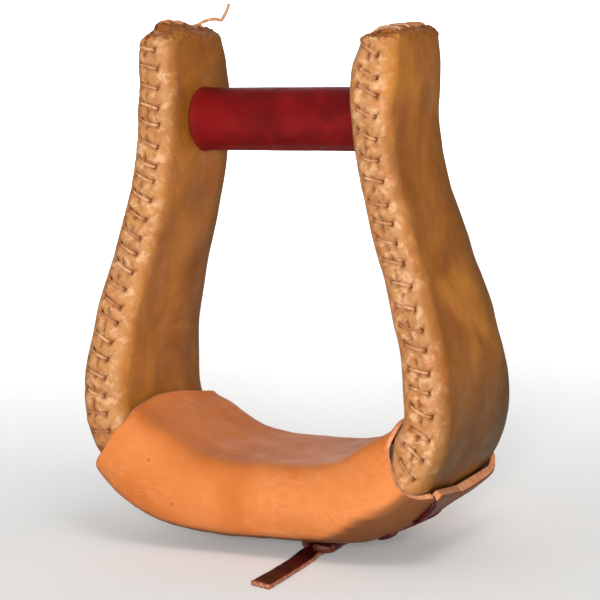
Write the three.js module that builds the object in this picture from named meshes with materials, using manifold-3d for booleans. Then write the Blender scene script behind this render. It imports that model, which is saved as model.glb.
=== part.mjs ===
// A western bell stirrup: a bent hardwood bow in laced leather, a padded leather tread tied on
// underneath with a latigo thong, and a leather-sleeved roller that turns on a bolt across the neck.
// Millimetres, +Z up. X runs across the stirrup, along the roller; -Y is the laced front.
// The origin is on the surface that the stirrup stands on, under the middle of the tread.
import * as THREE from "three";
import { mergeVertices } from "three/addons/utils/BufferGeometryUtils.js";
import Module from "manifold-3d";

const wasm = await Module();
wasm.setup();

// ---------------------------------------------------------------- driving dimensions
const GAP = 0.3; // between pieces that touch
const THONG_THICK = 2.4; // latigo thong that ties the tread cover
const THONG_WIDE = 8.6;
const TAIL_WIDE = 8.6;
const STAND = 2 * (THONG_THICK + GAP) + 0.6; // the crossed thong lifts the tread this far

const COVER_THICK = 2.3; // side leather
const COVER_IN = GAP; // side cover's inner and outer face, from the wood
const COVER_OUT = COVER_IN + COVER_THICK;
const TREAD_IN = COVER_OUT + 2 * GAP; // tread cover's inner and outer face, from the wood
const TREAD_THICK = 4;
const TREAD_OUT = TREAD_IN + TREAD_THICK;

const WOOD_TREAD_THICK = 12; // wood under the tread
const TREAD_MID_Z = STAND + TREAD_OUT + WOOD_TREAD_THICK / 2; // bow's centre line at the middle
const TREAD_HALF = 30; // nearly straight stretch each side of the middle
const TREAD_RISE = 0.8; // how far that stretch rises
const WIDEST_X = 68.2; // centre line at the widest point and its height over the tread's centre
const WIDEST_UP = 37.3;
const NECK_X = 45.6; // centre line at the neck
const NECK_UP = 151;
const TOP_X = 46.7;
const TOP_UP = 175.5;

const ROLLER_UP = 144.2; // roller's axis over the tread's centre line
const ROLLER_Z = TREAD_MID_Z + ROLLER_UP;
const ROLLER_R = 12;
const ROLLER_HALF = 36.9;
const ROLLER_END_FLARE = 0.7; // leather sleeve swells a little at its ends
const SLEEVE_THICK = 2.2;
const BOLT_R = 4.75;
const BOLT_CLEAR = 0.3;
const HEAD_R = 9;
const HEAD_THICK = 3.2;
const NUT_ACROSS = 14.3;
const NUT_THICK = 3.4;
const WASHER_R = 9.5;
const WASHER_THICK = 1;

const LACE_PITCH = 7;
const LACE_R = 0.75;
const LACE_REACH = 4.2; // lace holes, each side of the seam
const CLOSED = 1e-3; // vertices nearer than this are one

// Wood sections along the bow: distance from the middle, thickness, width front to back, edge radius.
const stations = [
  { at: 0, thick: WOOD_TREAD_THICK, wide: 63.4, edge: 5.4 },
  { at: 40, thick: 12.6, wide: 63.4, edge: 5.4 },
  { at: 72, thick: 13.6, wide: 63.2, edge: 4.2 },
  { at: 94, thick: 13.6, wide: 61.5, edge: 3.6 },
  { at: 118, thick: 12.4, wide: 56.0, edge: 3.2 },
  { at: 146, thick: 11.4, wide: 50.4, edge: 3.0 },
  { at: 174, thick: 10.5, wide: 48.0, edge: 3.0 },
  { at: 198, thick: 10.9, wide: 46.4, edge: 3.0 },
  { at: 218, thick: 13.0, wide: 43.6, edge: 3.4 },
  { at: 234, thick: 11.6, wide: 39.6, edge: 3.6 },
];

// ---------------------------------------------------------------- solids
function toSolid(geometry) {
  const bare = geometry.index ? geometry.toNonIndexed() : geometry.clone();
  const plain = new THREE.BufferGeometry().setAttribute("position", bare.getAttribute("position"));
  const merged = mergeVertices(plain, CLOSED);
  return new wasm.Manifold(
    new wasm.Mesh({
      numProp: 3,
      vertProperties: merged.attributes.position.array,
      triVerts: new Uint32Array(merged.index.array),
    }),
  );
}

function toGeometry(solid) {
  const mesh = solid.getMesh();
  const geometry = new THREE.BufferGeometry();
  geometry.setAttribute("position", new THREE.BufferAttribute(mesh.vertProperties, 3));
  geometry.setIndex(new THREE.BufferAttribute(mesh.triVerts, 1));
  return geometry;
}

const cut = (whole, ...tools) =>
  toGeometry(tools.reduce((solid, tool) => solid.subtract(toSolid(tool)), toSolid(whole)));

// A closed body through rings of points: each ring has the same number of points.
function loft(rings) {
  const count = rings[0].length;
  const index = [];
  for (let i = 0; i + 1 < rings.length; i++) {
    for (let j = 0; j < count; j++) {
      const a = i * count + j;
      const b = i * count + ((j + 1) % count);
      index.push(a, b, b + count, a, b + count, a + count);
    }
  }
  const last = (rings.length - 1) * count;
  for (let j = 1; j + 1 < count; j++) {
    index.push(0, j + 1, j, last, last + j, last + j + 1);
  }
  return facingOut(rings.flat(), index);
}

// A sheet with a thickness: two grids of points joined round their rims.
function thickSheet(inner, outer) {
  const rows = inner.length;
  const columns = inner[0].length;
  const under = rows * columns;
  const index = [];
  const quad = (a, b, c, d) => index.push(a, b, c, a, c, d);
  const at = (i, j) => i * columns + j;
  for (let i = 0; i + 1 < rows; i++) {
    for (let j = 0; j + 1 < columns; j++) {
      quad(at(i, j), at(i, j + 1), at(i + 1, j + 1), at(i + 1, j));
      quad(under + at(i + 1, j), under + at(i + 1, j + 1), under + at(i, j + 1), under + at(i, j));
    }
  }
  for (let j = 0; j + 1 < columns; j++) {
    quad(under + at(0, j), under + at(0, j + 1), at(0, j + 1), at(0, j));
    const [near, far] = [at(rows - 1, j), at(rows - 1, j + 1)];
    quad(near, far, under + far, under + near);
  }
  for (let i = 0; i + 1 < rows; i++) {
    quad(at(i, 0), at(i + 1, 0), under + at(i + 1, 0), under + at(i, 0));
    const [near, far] = [at(i, columns - 1), at(i + 1, columns - 1)];
    quad(under + near, under + far, far, near);
  }
  return facingOut([...outer.flat(), ...inner.flat()], index);
}

function facingOut(points, index) {
  const volume = (list) => {
    let sum = 0;
    for (let i = 0; i < list.length; i += 3) {
      sum += points[list[i]].dot(new THREE.Vector3().crossVectors(points[list[i + 1]], points[list[i + 2]]));
    }
    return sum;
  };
  const faces = volume(index) > 0 ? index : [...index].reverse();
  return new THREE.BufferGeometry().setFromPoints(points).setIndex(faces);
}

// A section carried along points. The section's x lies along side(i), its y along up(i).
function sweep(points, section, upAt) {
  const rings = points.map((point, i) => {
    const before = points[Math.max(i - 1, 0)];
    const after = points[Math.min(i + 1, points.length - 1)];
    const along = after.clone().sub(before).normalize();
    const side = new THREE.Vector3().crossVectors(upAt(i), along).normalize();
    const up = new THREE.Vector3().crossVectors(along, side);
    return section.map(([x, y]) => point.clone().addScaledVector(side, x).addScaledVector(up, y));
  });
  return loft(rings);
}

const roundSection = (radius, sides) =>
  Array.from({ length: sides }, (_, k) => {
    const angle = ((k + 0.5) / sides) * 2 * Math.PI;
    return [radius * Math.cos(angle), radius * Math.sin(angle)];
  });

const strapSection = (wide, thick, bevel = 0.5) => {
  const [x, y] = [wide / 2, thick / 2];
  return [
    [x, y - bevel],
    [x - bevel, y],
    [bevel - x, y],
    [-x, y - bevel],
    [-x, bevel - y],
    [bevel - x, -y],
    [x - bevel, -y],
    [x, bevel - y],
  ];
};

// ---------------------------------------------------------------- the bow's centre line and section
const xz = (x, up) => new THREE.Vector3(x, 0, TREAD_MID_Z + up);
const halfBow = new THREE.CurvePath();
const riseSlope = (2 * TREAD_RISE) / TREAD_HALF;
const bendPull = 20.5; // how far the corner's handles reach
const armPull = 40;
const lean = (TOP_X - NECK_X) / (TOP_UP - NECK_UP);
halfBow.add(
  new THREE.CubicBezierCurve3(
    xz(0, 0),
    xz(TREAD_HALF / 3, 0),
    xz((2 * TREAD_HALF) / 3, TREAD_RISE / 3),
    xz(TREAD_HALF, TREAD_RISE),
  ),
);
halfBow.add(
  new THREE.CubicBezierCurve3(
    xz(TREAD_HALF, TREAD_RISE),
    xz(TREAD_HALF + bendPull, TREAD_RISE + bendPull * riseSlope),
    xz(WIDEST_X, WIDEST_UP - bendPull),
    xz(WIDEST_X, WIDEST_UP),
  ),
);
halfBow.add(
  new THREE.CubicBezierCurve3(
    xz(WIDEST_X, WIDEST_UP),
    xz(WIDEST_X, WIDEST_UP + armPull),
    xz(NECK_X - lean * armPull, NECK_UP - armPull),
    xz(NECK_X, NECK_UP),
  ),
);
halfBow.add(new THREE.LineCurve3(xz(NECK_X, NECK_UP), xz(TOP_X, TOP_UP)));
const BOW_LENGTH = halfBow.getLength();

const smooth = (t) => t * t * (3 - 2 * t);
const clamp01 = (t) => Math.min(1, Math.max(0, t));

// The centre line at a signed distance from the middle of the tread: right arm positive.
function bowAt(distance) {
  const share = Math.min(Math.abs(distance) / BOW_LENGTH, 1);
  const hand = distance < 0 ? -1 : 1;
  const centre = halfBow.getPointAt(share);
  const along = halfBow.getTangentAt(share);
  const beyond = Math.max(Math.abs(distance) - BOW_LENGTH, 0);
  centre.addScaledVector(along, beyond);
  return {
    centre: new THREE.Vector3(hand * centre.x, 0, centre.z),
    along: new THREE.Vector3(along.x, 0, hand * along.z),
    out: new THREE.Vector3(hand * along.z, 0, -along.x),
  };
}

function sectionAt(distance) {
  const at = Math.abs(distance);
  const next = stations.findIndex((station) => station.at > at);
  if (next < 0) return stations[stations.length - 1];
  const [low, high] = [stations[next - 1], stations[next]];
  const share = smooth((at - low.at) / (high.at - low.at));
  const mix = (key) => low[key] + (high[key] - low[key]) * share;
  return { thick: mix("thick"), wide: mix("wide"), edge: mix("edge") };
}

// A quarter turn of the section, from the middle of the edge (turn 0) to the middle of the face (turn 1).
const EDGE_SHARE = 0.1;
const ARC_SHARE = 0.3;
function quarter(turn, { thick, wide, edge }) {
  const [a, b] = [thick / 2, wide / 2];
  if (turn < EDGE_SHARE) {
    return { n: ((a - edge) * turn) / EDGE_SHARE, y: b, nn: 0, ny: 1 };
  }
  if (turn < EDGE_SHARE + ARC_SHARE) {
    const angle = ((turn - EDGE_SHARE) / ARC_SHARE) * (Math.PI / 2);
    const [nn, ny] = [Math.sin(angle), Math.cos(angle)];
    return { n: a - edge + edge * nn, y: b - edge + edge * ny, nn, ny };
  }
  const share = (turn - EDGE_SHARE - ARC_SHARE) / (1 - EDGE_SHARE - ARC_SHARE);
  return { n: a, y: (b - edge) * (1 - share), nn: 1, ny: 0 };
}

// A point on the section, round it from the middle of the front edge: 0.25 is the face towards the
// foot, 0.5 the back edge, 0.75 the outside. away is its distance from the wood, pad the distance
// that padding adds on the foot's side.
function onSection(distance, round, away, pad = 0) {
  const turn = (((round % 1) + 1) % 1) * 4;
  const fourth = Math.floor(turn);
  const inFourth = turn - fourth;
  const p = quarter(fourth % 2 ? 1 - inFourth : inFourth, sectionAt(distance));
  const face = fourth < 2 ? -1 : 1;
  const back = fourth === 0 || fourth === 3 ? -1 : 1;
  const padding = fourth < 2 ? pad * smooth(clamp01((p.nn - 0.1) / 0.9)) : 0;
  const { centre, out } = bowAt(distance);
  const n = face * (p.n + away * p.nn + padding);
  return centre.addScaledVector(out, n).add(new THREE.Vector3(0, back * (p.y + away * p.ny), 0));
}

const steps = (from, to, count) =>
  Array.from({ length: count + 1 }, (_, i) => from + ((to - from) * i) / count);

// Places round the section where its outline bends, with count steps in each corner.
function roundings(cornerSteps, faceSteps) {
  const one = [
    ...steps(EDGE_SHARE, EDGE_SHARE + ARC_SHARE, cornerSteps),
    ...steps(EDGE_SHARE + ARC_SHARE, 1, faceSteps).slice(1, -1),
  ];
  const fourths = [one, one.map((t) => 1 - t).reverse(), one, one.map((t) => 1 - t).reverse()];
  return fourths.flatMap((turns, k) => {
    const places = turns.map((t) => (k + t) / 4);
    return k % 2 === 0 ? [...places, (k + 1) / 4] : places;
  });
}

// The bow's outline at a distance from the wood, as a closed body with rounded ends.
function bowBody(from, to, away, count, places, roundEnd = 0) {
  const rings = steps(from, to, count).map((distance) =>
    places.map((round) => onSection(distance, round, away)),
  );
  if (roundEnd > 0) {
    const up = bowAt(to).along.multiplyScalar(Math.sign(to));
    for (const angle of steps(0, Math.PI / 2, 3).slice(1)) {
      const pull = roundEnd * (1 - Math.cos(angle));
      rings.push(
        places.map((round) => {
          const p = onSection(to, round, away - pull);
          return p.addScaledVector(up, roundEnd * Math.sin(angle));
        }),
      );
    }
  }
  return loft(rings);
}

// ---------------------------------------------------------------- materials
const paint = (color, roughness, metalness = 0) =>
  new THREE.MeshStandardMaterial({ color, roughness, metalness });
const wood = paint(0xb58a57, 0.7);
const sideLeather = paint(0xb07a3c, 0.45);
const treadLeather = paint(0xd9803f, 0.5);
const burgundy = paint(0x7a1216, 0.4);
const thread = paint(0xcfa878, 0.7);
const felt = paint(0xb9ab93, 0.95);
const steel = paint(0x9a9ca0, 0.35, 1);

const stirrup = new THREE.Group();
function addPart(name, geometry, material, parent = stirrup) {
  const mesh = new THREE.Mesh(geometry, material);
  mesh.name = name;
  parent.add(mesh);
  return mesh;
}

function cylinderX(radius, length, sides) {
  return new THREE.CylinderGeometry(radius, radius, length, sides).rotateZ(Math.PI / 2);
}

// ---------------------------------------------------------------- wood bow and the bolt across its neck
const WOOD_OUTSIDE = NECK_X + 5.4; // outside of the wood at the roller
const POCKET_FLOOR = WOOD_OUTSIDE - 5.4; // floor of the pockets that hide the bolt's head and nut
const POCKET_R = WASHER_R + 0.5;

const boltHole = (reach) => cylinderX(BOLT_R + BOLT_CLEAR, 2 * reach, 20).translate(0, 0, ROLLER_Z);

function woodBow() {
  const body = bowBody(-BOW_LENGTH, BOW_LENGTH, 0, 56, roundings(2, 2));
  const pocketDepth = 20;
  const pockets = [-1, 1].map((hand) =>
    cylinderX(POCKET_R, pocketDepth, 24).translate(hand * (POCKET_FLOOR + pocketDepth / 2), 0, ROLLER_Z),
  );
  return cut(body, boltHole(WOOD_OUTSIDE + 5), ...pockets);
}

function turnedX(profile, sides) {
  const points = profile.map(([radius, x]) => new THREE.Vector2(radius, x));
  return new THREE.LatheGeometry(points, sides).rotateZ(-Math.PI / 2).translate(0, 0, ROLLER_Z);
}

const ringX = (inner, outer, from, to, sides) =>
  turnedX([[inner, from], [outer, from], [outer, to], [inner, to], [inner, from]], sides);

const NUT_FACE = POCKET_FLOOR + WASHER_THICK + 2 * GAP; // where the nut and the head sit

function neckBolt() {
  return turnedX(
    [
      [0, -NUT_FACE - HEAD_THICK],
      [HEAD_R * 0.62, -NUT_FACE - HEAD_THICK * 0.9],
      [HEAD_R, -NUT_FACE - HEAD_THICK * 0.35],
      [HEAD_R, -NUT_FACE],
      [BOLT_R, -NUT_FACE],
      [BOLT_R, NUT_FACE + NUT_THICK],
      [0, NUT_FACE + NUT_THICK],
    ],
    20,
  );
}

function neckNut() {
  const hexagon = cylinderX(NUT_ACROSS / 2 / Math.cos(Math.PI / 6), NUT_THICK, 6);
  return cut(hexagon.translate(NUT_FACE + NUT_THICK / 2, 0, ROLLER_Z), boltHole(WOOD_OUTSIDE + 5));
}

function boltWasher(hand) {
  const near = POCKET_FLOOR + GAP;
  const [from, to] = [hand * near, hand * (near + WASHER_THICK)].sort((x1, x2) => x1 - x2);
  return ringX(BOLT_R + BOLT_CLEAR, WASHER_R, from, to, 20);
}

// ---------------------------------------------------------------- side covers and their lacing
const COVER_END = 0.5; // the two covers butt under the middle of the tread
const COVER_TOP_ROUND = 2.6;

function sideCover(hand) {
  const places = roundings(2, 2);
  const outer = bowBody(hand * COVER_END, hand * (BOW_LENGTH + 0.6), COVER_OUT, 28, places, COVER_TOP_ROUND);
  const inner = bowBody(hand * -4, hand * (BOW_LENGTH + GAP), COVER_IN, 28, places);
  const slit = (n, y0, y1) => (distance) => {
    const { centre, out } = bowAt(distance);
    return [
      [-n, y0],
      [n, y0],
      [n, y1],
      [-n, y1],
    ].map(([a, y]) => centre.clone().addScaledVector(out, a).add(new THREE.Vector3(0, y, 0)));
  };
  const seam = loft(steps(hand * -4, hand * (BOW_LENGTH + 8), 28).map(slit(0.3, -60, -12)));
  const topSeam = loft([hand * (BOW_LENGTH + 0.2), hand * (BOW_LENGTH + 8)].map(slit(0.3, -60, 14)));
  return cut(outer, inner, seam, topSeam, boltHole(NECK_X));
}

// Lace over the front seam, from hole to hole.
function frontLacing(hand) {
  const points = [];
  const ups = [];
  const from = 76;
  const count = Math.floor((BOW_LENGTH - 3 - from) / LACE_PITCH);
  const outY = new THREE.Vector3(0, -1, 0);
  for (let k = 0; k < count; k++) {
    const low = from + k * LACE_PITCH;
    for (const [side, at] of [[-1, low], [1, low + LACE_PITCH / 2]]) {
      const { centre, out } = bowAt(hand * at);
      const y = sectionAt(at).wide / 2 + COVER_OUT + GAP + LACE_R;
      points.push(centre.addScaledVector(out, side * LACE_REACH).addScaledVector(outY, y));
      ups.push(outY);
    }
  }
  return sweep(points, roundSection(LACE_R, 5), (i) => ups[i]);
}

// Lace over the seam across an arm's top.
function topLacing(hand) {
  const top = BOW_LENGTH + 0.6 + COVER_TOP_ROUND + GAP + LACE_R;
  const { centre, along, out } = bowAt(hand * BOW_LENGTH);
  const up = along.clone().multiplyScalar(hand);
  const half = 15;
  const pitch = 6;
  const points = [];
  for (let y = -half; y <= half; y += pitch) {
    for (const [side, shift] of [[-1, 0], [1, pitch / 2]]) {
      const p = centre.clone().addScaledVector(up, top - BOW_LENGTH);
      points.push(p.addScaledVector(out, side * 2.6).add(new THREE.Vector3(0, y + shift, 0)));
    }
  }
  return sweep(points, roundSection(LACE_R, 5), () => up);
}

// ---------------------------------------------------------------- tread pad and cover
const PAD_MIDDLE = 2.4;
const PAD_CORNER = 6.2; // the cover bridges the inside corners
const padAt = (distance) => {
  const at = Math.abs(distance);
  const rise = smooth(clamp01((at - 14) / 36));
  const fall = 1 - smooth(clamp01((at - 52) / 32));
  return (PAD_MIDDLE + (PAD_CORNER - PAD_MIDDLE) * rise) * fall;
};

// How far the tread cover reaches along the bow at each arm, round the section.
const reaches = [
  { round: 0, left: 71, right: 61.5 }, // front edge
  { round: 0.03, left: 72.7, right: 63.4 },
  { round: 0.06, left: 77.5, right: 69.7 },
  { round: 0.083, left: 81, right: 79 },
  { round: 0.1, left: 83, right: 84.5 }, // foot side, near its front corner
  { round: 0.21, left: 86, right: 87 }, // foot side, middle
  { round: 0.3, left: 84, right: 84.5 },
  { round: 0.42, left: 77, right: 77 },
  { round: 0.5, left: 70, right: 70 }, // back edge
  { round: 0.58, left: 65, right: 64.5 }, // outside, near the back corner
  { round: 0.75, left: 61, right: 62.5 }, // outside, middle, where the flaps part
  { round: 0.86, left: 64, right: 65.5 },
  { round: 0.9, left: 66, right: 66.5 },
  { round: 0.925, left: 67, right: 65 },
  { round: 0.95, left: 68.5, right: 62.3 },
  { round: 1, left: 71, right: 61.5 },
];
function reachAt(round, side) {
  const place = ((round % 1) + 1) % 1;
  const next = reaches.findIndex((r) => r.round > place);
  const [low, high] = [reaches[next - 1], reaches[next]];
  const share = (place - low.round) / (high.round - low.round);
  return low[side] + (high[side] - low[side]) * share;
}

const FLAP_GAP = 0.022; // half the gap between the flaps, as a share of the way round

function treadCover() {
  const places = roundings(3, 2).filter((r) => Math.abs(r - 0.75) > FLAP_GAP);
  const round = [
    0.75 + FLAP_GAP - 1,
    ...places.filter((r) => r > 0.75).map((r) => r - 1),
    ...places.filter((r) => r < 0.75),
    0.75 - FLAP_GAP,
  ];
  const grid = (away) =>
    steps(-1, 1, 30).map((share) =>
      round.map((r) => {
        const distance = share * reachAt(r, share < 0 ? "left" : "right");
        return onSection(distance, r, away, padAt(distance));
      }),
    );
  return thickSheet(grid(TREAD_IN), grid(TREAD_OUT));
}

function treadPad() {
  const half = 0.145;
  const round = steps(0.25 - half, 0.25 + half, 8);
  const reach = 70;
  const grid = (away, padding) =>
    steps(-reach, reach, 28).map((distance) =>
      round.map((r) => onSection(distance, r, away, padding * Math.max(padAt(distance) - 0.6, 0))),
    );
  return thickSheet(grid(TREAD_IN, 0), grid(TREAD_IN + GAP, 1));
}

// ---------------------------------------------------------------- the thong under the tread
// It crosses from flap to flap through holes, comes back over itself and ends in a knot at the front.
const RETURN_Z = THONG_THICK / 2; // the lowest stretches lie on the surface
const FIRST_AWAY = TREAD_OUT + STAND - 1.5 * THONG_THICK - GAP;
const HOLE_Y = 13; // thong holes, front and back of the flaps' meeting line
const HOLE_STEP = 14;
const FIRST_REACH = 49; // first stretch ends on the corners
const END_ROUND = 0.905; // under the front edge
const THONG_END_WIDE = 5;
const KNOT_X = 18.4;
const KNOT_Y = -19.5;
const KNOT_SIZE = [7.4, 6.6, 2.8]; // half sizes
const DOWN = new THREE.Vector3(0, 0, -1);

const withMiddles = (points) =>
  points.flatMap((p, i) => (i ? [points[i - 1].clone().lerp(p, 0.5), p] : [p]));

function thongUnderBow() {
  const crossings = (2 * FIRST_REACH) / HOLE_STEP;
  const legSteps = 4;
  const places = steps(0, crossings, crossings * legSteps).map((k) => {
    const inLeg = k - Math.floor(k);
    const backward = Math.floor(k) % 2 ? 1 - 2 * inLeg : 2 * inLeg - 1;
    return { distance: -FIRST_REACH + k * HOLE_STEP, y: backward * HOLE_Y };
  });
  const points = places.map(({ distance, y }) => {
    const { centre, out } = bowAt(distance);
    return centre.addScaledVector(out, sectionAt(distance).thick / 2 + FIRST_AWAY).setY(y);
  });
  return sweep(points, strapSection(THONG_WIDE, THONG_THICK), (i) => bowAt(places[i].distance).out);
}

function thongReturn() {
  const points = [-42, -28, -14, 0].map(
    (x, k) => new THREE.Vector3(x, (k % 2 ? -1 : 1) * HOLE_Y, RETURN_Z),
  );
  return sweep(withMiddles(points), strapSection(THONG_WIDE, THONG_THICK), () => DOWN);
}

function thongTie() {
  const along = [HOLE_Y + 4, 4, KNOT_Y + KNOT_SIZE[1] + GAP];
  const points = along.map((y) => new THREE.Vector3(KNOT_X, y, RETURN_Z));
  return sweep(points, strapSection(THONG_WIDE, THONG_THICK), () => DOWN);
}

// A stretch of thong outside the cover's front flap, near the right arm.
function thongEnd() {
  const distances = steps(54, 63, 4);
  const away = TREAD_OUT + GAP + THONG_THICK / 2;
  const at = (distance, beyond) => onSection(distance, END_ROUND, away + beyond);
  const points = distances.map((distance) => at(distance, 0));
  const up = (i) => at(distances[i], 1).sub(at(distances[i], 0)).normalize();
  return sweep(points, strapSection(THONG_END_WIDE, THONG_THICK), up);
}

function thongKnot() {
  const profile = [
    [0, -1],
    [0.75, -1],
    [1, -0.35],
    [1, 0.3],
    [0.7, 0.9],
    [0, 1],
  ].map(([radius, height]) => new THREE.Vector2(radius, height));
  return new THREE.LatheGeometry(profile, 14)
    .rotateX(Math.PI / 2)
    .scale(...KNOT_SIZE)
    .translate(KNOT_X, KNOT_Y, KNOT_SIZE[2]);
}

// The thong's free end lies on the surface in front of the stirrup.
const TAIL = [
  [18.1, -26.4],
  [18.7, -35],
  [19.6, -46],
  [20.4, -58],
  [21.1, -73.6],
];

function thongTail() {
  const route = new THREE.CatmullRomCurve3(TAIL.map(([x, y]) => new THREE.Vector3(x, y, RETURN_Z)));
  return sweep(route.getPoints(8), strapSection(TAIL_WIDE, THONG_THICK), () => DOWN);
}

// ---------------------------------------------------------------- the roller
function rollerSleeve() {
  const inner = ROLLER_R - SLEEVE_THICK;
  const [end, near, swell] = [ROLLER_HALF, ROLLER_HALF - 4, ROLLER_R + ROLLER_END_FLARE];
  return turnedX(
    [
      [inner, -end],
      [swell, -end],
      [ROLLER_R, -near],
      [ROLLER_R, near],
      [swell, end],
      [inner, end],
      [inner, -end],
    ],
    32,
  );
}

const rollerCore = () =>
  ringX(BOLT_R + BOLT_CLEAR, ROLLER_R - SLEEVE_THICK - GAP, -ROLLER_HALF, ROLLER_HALF, 32);

// ---------------------------------------------------------------- assembly
const arms = [
  { side: "left", hand: -1 },
  { side: "right", hand: 1 },
];
addPart("wood_bow", woodBow(), wood);
addPart("neck_bolt", neckBolt(), steel);
addPart("neck_nut", neckNut(), steel);
for (const { side, hand } of arms) {
  addPart(`bolt_washer_${side}`, boltWasher(hand), steel);
  addPart(`${side}_side_cover`, sideCover(hand), sideLeather);
  addPart(`${side}_front_lacing`, frontLacing(hand), thread);
  addPart(`${side}_top_lacing`, topLacing(hand), thread);
}
addPart("tread_pad", treadPad(), felt);
addPart("tread_cover", treadCover(), treadLeather);
addPart("thong_under_bow", thongUnderBow(), burgundy);
addPart("thong_return", thongReturn(), burgundy);
addPart("thong_tie", thongTie(), burgundy);
addPart("thong_end", thongEnd(), burgundy);
addPart("thong_knot", thongKnot(), burgundy);
addPart("thong_tail", thongTail(), burgundy);
addPart("roller_core", rollerCore(), wood);
addPart("roller_sleeve", rollerSleeve(), burgundy);

export default stirrup;
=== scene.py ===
"""A western bell stirrup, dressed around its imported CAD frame.

Lengths are in millimetres until a mesh is made, which turns them into metres; the studio is in metres.
"Distance" runs along the bow from the middle of the tread, right arm positive. "Place" runs round
the bow's section: 0 is the middle of the front edge, 0.25 the foot's side, 0.5 the back edge and
0.75 the outside. "Hand" is -1 on the left arm and 1 on the right one.
"""

import math

import bpy
import numpy as np
from mathutils import Matrix, Vector


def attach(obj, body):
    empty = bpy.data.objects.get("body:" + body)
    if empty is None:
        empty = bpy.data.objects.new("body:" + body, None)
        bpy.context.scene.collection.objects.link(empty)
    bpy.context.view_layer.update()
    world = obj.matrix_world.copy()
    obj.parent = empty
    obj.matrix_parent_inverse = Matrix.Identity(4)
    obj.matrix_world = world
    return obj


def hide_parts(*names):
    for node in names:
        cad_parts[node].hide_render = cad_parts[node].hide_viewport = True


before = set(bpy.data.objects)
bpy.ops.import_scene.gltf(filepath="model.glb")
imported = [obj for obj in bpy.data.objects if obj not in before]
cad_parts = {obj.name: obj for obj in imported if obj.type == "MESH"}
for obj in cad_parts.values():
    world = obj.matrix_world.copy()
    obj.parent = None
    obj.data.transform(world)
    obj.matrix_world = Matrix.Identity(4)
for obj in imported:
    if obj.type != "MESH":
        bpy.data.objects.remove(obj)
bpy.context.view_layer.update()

MM = 0.001
UP = np.array([0, 0, 1.0])

# ---- the stirrup's measures, as in CAD
STAND = 6.0  # the tread cover's underside over the ground
COVER_IN, COVER_OUT = 0.35, 2.6  # the side leather's faces, from the wood
TREAD_IN, TREAD_OUT = 3.2, 7.2  # the tread cover's faces, from the wood
TREAD_MID_Z = STAND + TREAD_OUT + 6.0
ROLLER_Z = TREAD_MID_Z + 144.2
ROLLER_R = 12.0
ROLLER_HALF = 36.9
THONG_WIDE = 8.6
THONG_THICK = 2.4
KNOT = np.array([18.4, -19.5, 2.8])

# The bow's centre line, right half: how far out, and how high over the tread's middle.
FLAT_END = (30, 0.8)  # the tread's flat part ends
WIDEST = (68.2, 37.3)
NECK_FOOT = (45.6, 151)
ARM_TOP = (46.7, 175.5)

# Distance, thickness, width and edge radius of the wood.
STATIONS = np.array([
    (0, 12.0, 63.4, 5.4),
    (40, 12.6, 63.4, 5.4),
    (72, 13.6, 63.2, 4.2),
    (94, 13.6, 61.5, 3.6),
    (118, 12.4, 56.0, 3.2),
    (146, 11.4, 50.4, 3.0),
    (174, 10.5, 48.0, 3.0),
    (198, 10.9, 46.4, 3.0),
    (218, 13.0, 43.6, 3.4),
    (234, 11.6, 39.6, 3.6),
])


def smooth(t):
    t = np.clip(t, 0.0, 1.0)
    return t * t * (3.0 - 2.0 * t)


def bell(x, width):
    """1 at 0, falling off to both sides."""
    return np.exp(-((x / width) ** 2))


def bezier(points, count):
    a, b, c, d = (np.array(p, float) for p in points)
    t = np.linspace(0, 1, count)[:, None]
    return (1 - t) ** 3 * a + 3 * (1 - t) ** 2 * t * b + 3 * (1 - t) * t**2 * c + t**3 * d


def centre_line():
    """Samples of the right half of the bow's centre line: x and height, with distances."""
    (flat_x, flat_z), (wide_x, wide_z) = FLAT_END, WIDEST
    (neck_x, neck_z), (top_x, top_z) = NECK_FOOT, ARM_TOP
    rise = flat_z / flat_x * 2
    lean = (top_x - neck_x) / (top_z - neck_z)
    corner, arm = 20.5, 40  # the curves' handles
    pieces = [
        bezier([(0, 0), (flat_x / 3, 0), (flat_x / 1.5, flat_z / 3), FLAT_END], 200),
        bezier([FLAT_END, (flat_x + corner, flat_z + corner * rise), (wide_x, wide_z - corner), WIDEST], 400),
        bezier([WIDEST, (wide_x, wide_z + arm), (neck_x - lean * arm, neck_z - arm), NECK_FOOT], 600),
        np.linspace(NECK_FOOT, ARM_TOP, 100),
    ]
    line = np.concatenate([pieces[0]] + [p[1:] for p in pieces[1:]])
    line[:, 1] += TREAD_MID_Z
    steps = np.hypot(*np.diff(line, axis=0).T)
    return np.concatenate([[0], np.cumsum(steps)]), line


LINE_AT, LINE = centre_line()
LINE_TANGENT = np.gradient(LINE, LINE_AT, axis=0)
BOW_LENGTH = LINE_AT[-1]


def bow_at(distance):
    """Centre, direction and outward direction at distances along the bow."""
    distance = np.asarray(distance, float)
    at = np.abs(distance)
    hand = np.where(distance < 0, -1.0, 1.0)
    x, z = (np.interp(at, LINE_AT, LINE[:, k]) for k in (0, 1))
    tx, tz = (np.interp(at, LINE_AT, LINE_TANGENT[:, k]) for k in (0, 1))
    beyond = np.maximum(at - BOW_LENGTH, 0)
    zero = np.zeros_like(x)
    centre = np.stack([hand * (x + tx * beyond), zero, z + tz * beyond], -1)
    return centre, np.stack([tx, zero, hand * tz], -1), np.stack([hand * tz, zero, -tx], -1)


def section_at(distance):
    """Thickness, width and edge radius of the wood."""
    at = np.abs(distance)
    low = np.clip(np.searchsorted(STATIONS[:, 0], at, side="right") - 1, 0, len(STATIONS) - 2)
    share = smooth((at - STATIONS[low, 0]) / (STATIONS[low + 1, 0] - STATIONS[low, 0]))
    values = STATIONS[low, 1:] + (STATIONS[low + 1, 1:] - STATIONS[low, 1:]) * share[..., None]
    return values[..., 0], values[..., 1], values[..., 2]


EDGE_SHARE, ARC_SHARE = 0.1, 0.3  # of a quarter of the section: the flat edge, then its rounded corner


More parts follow.
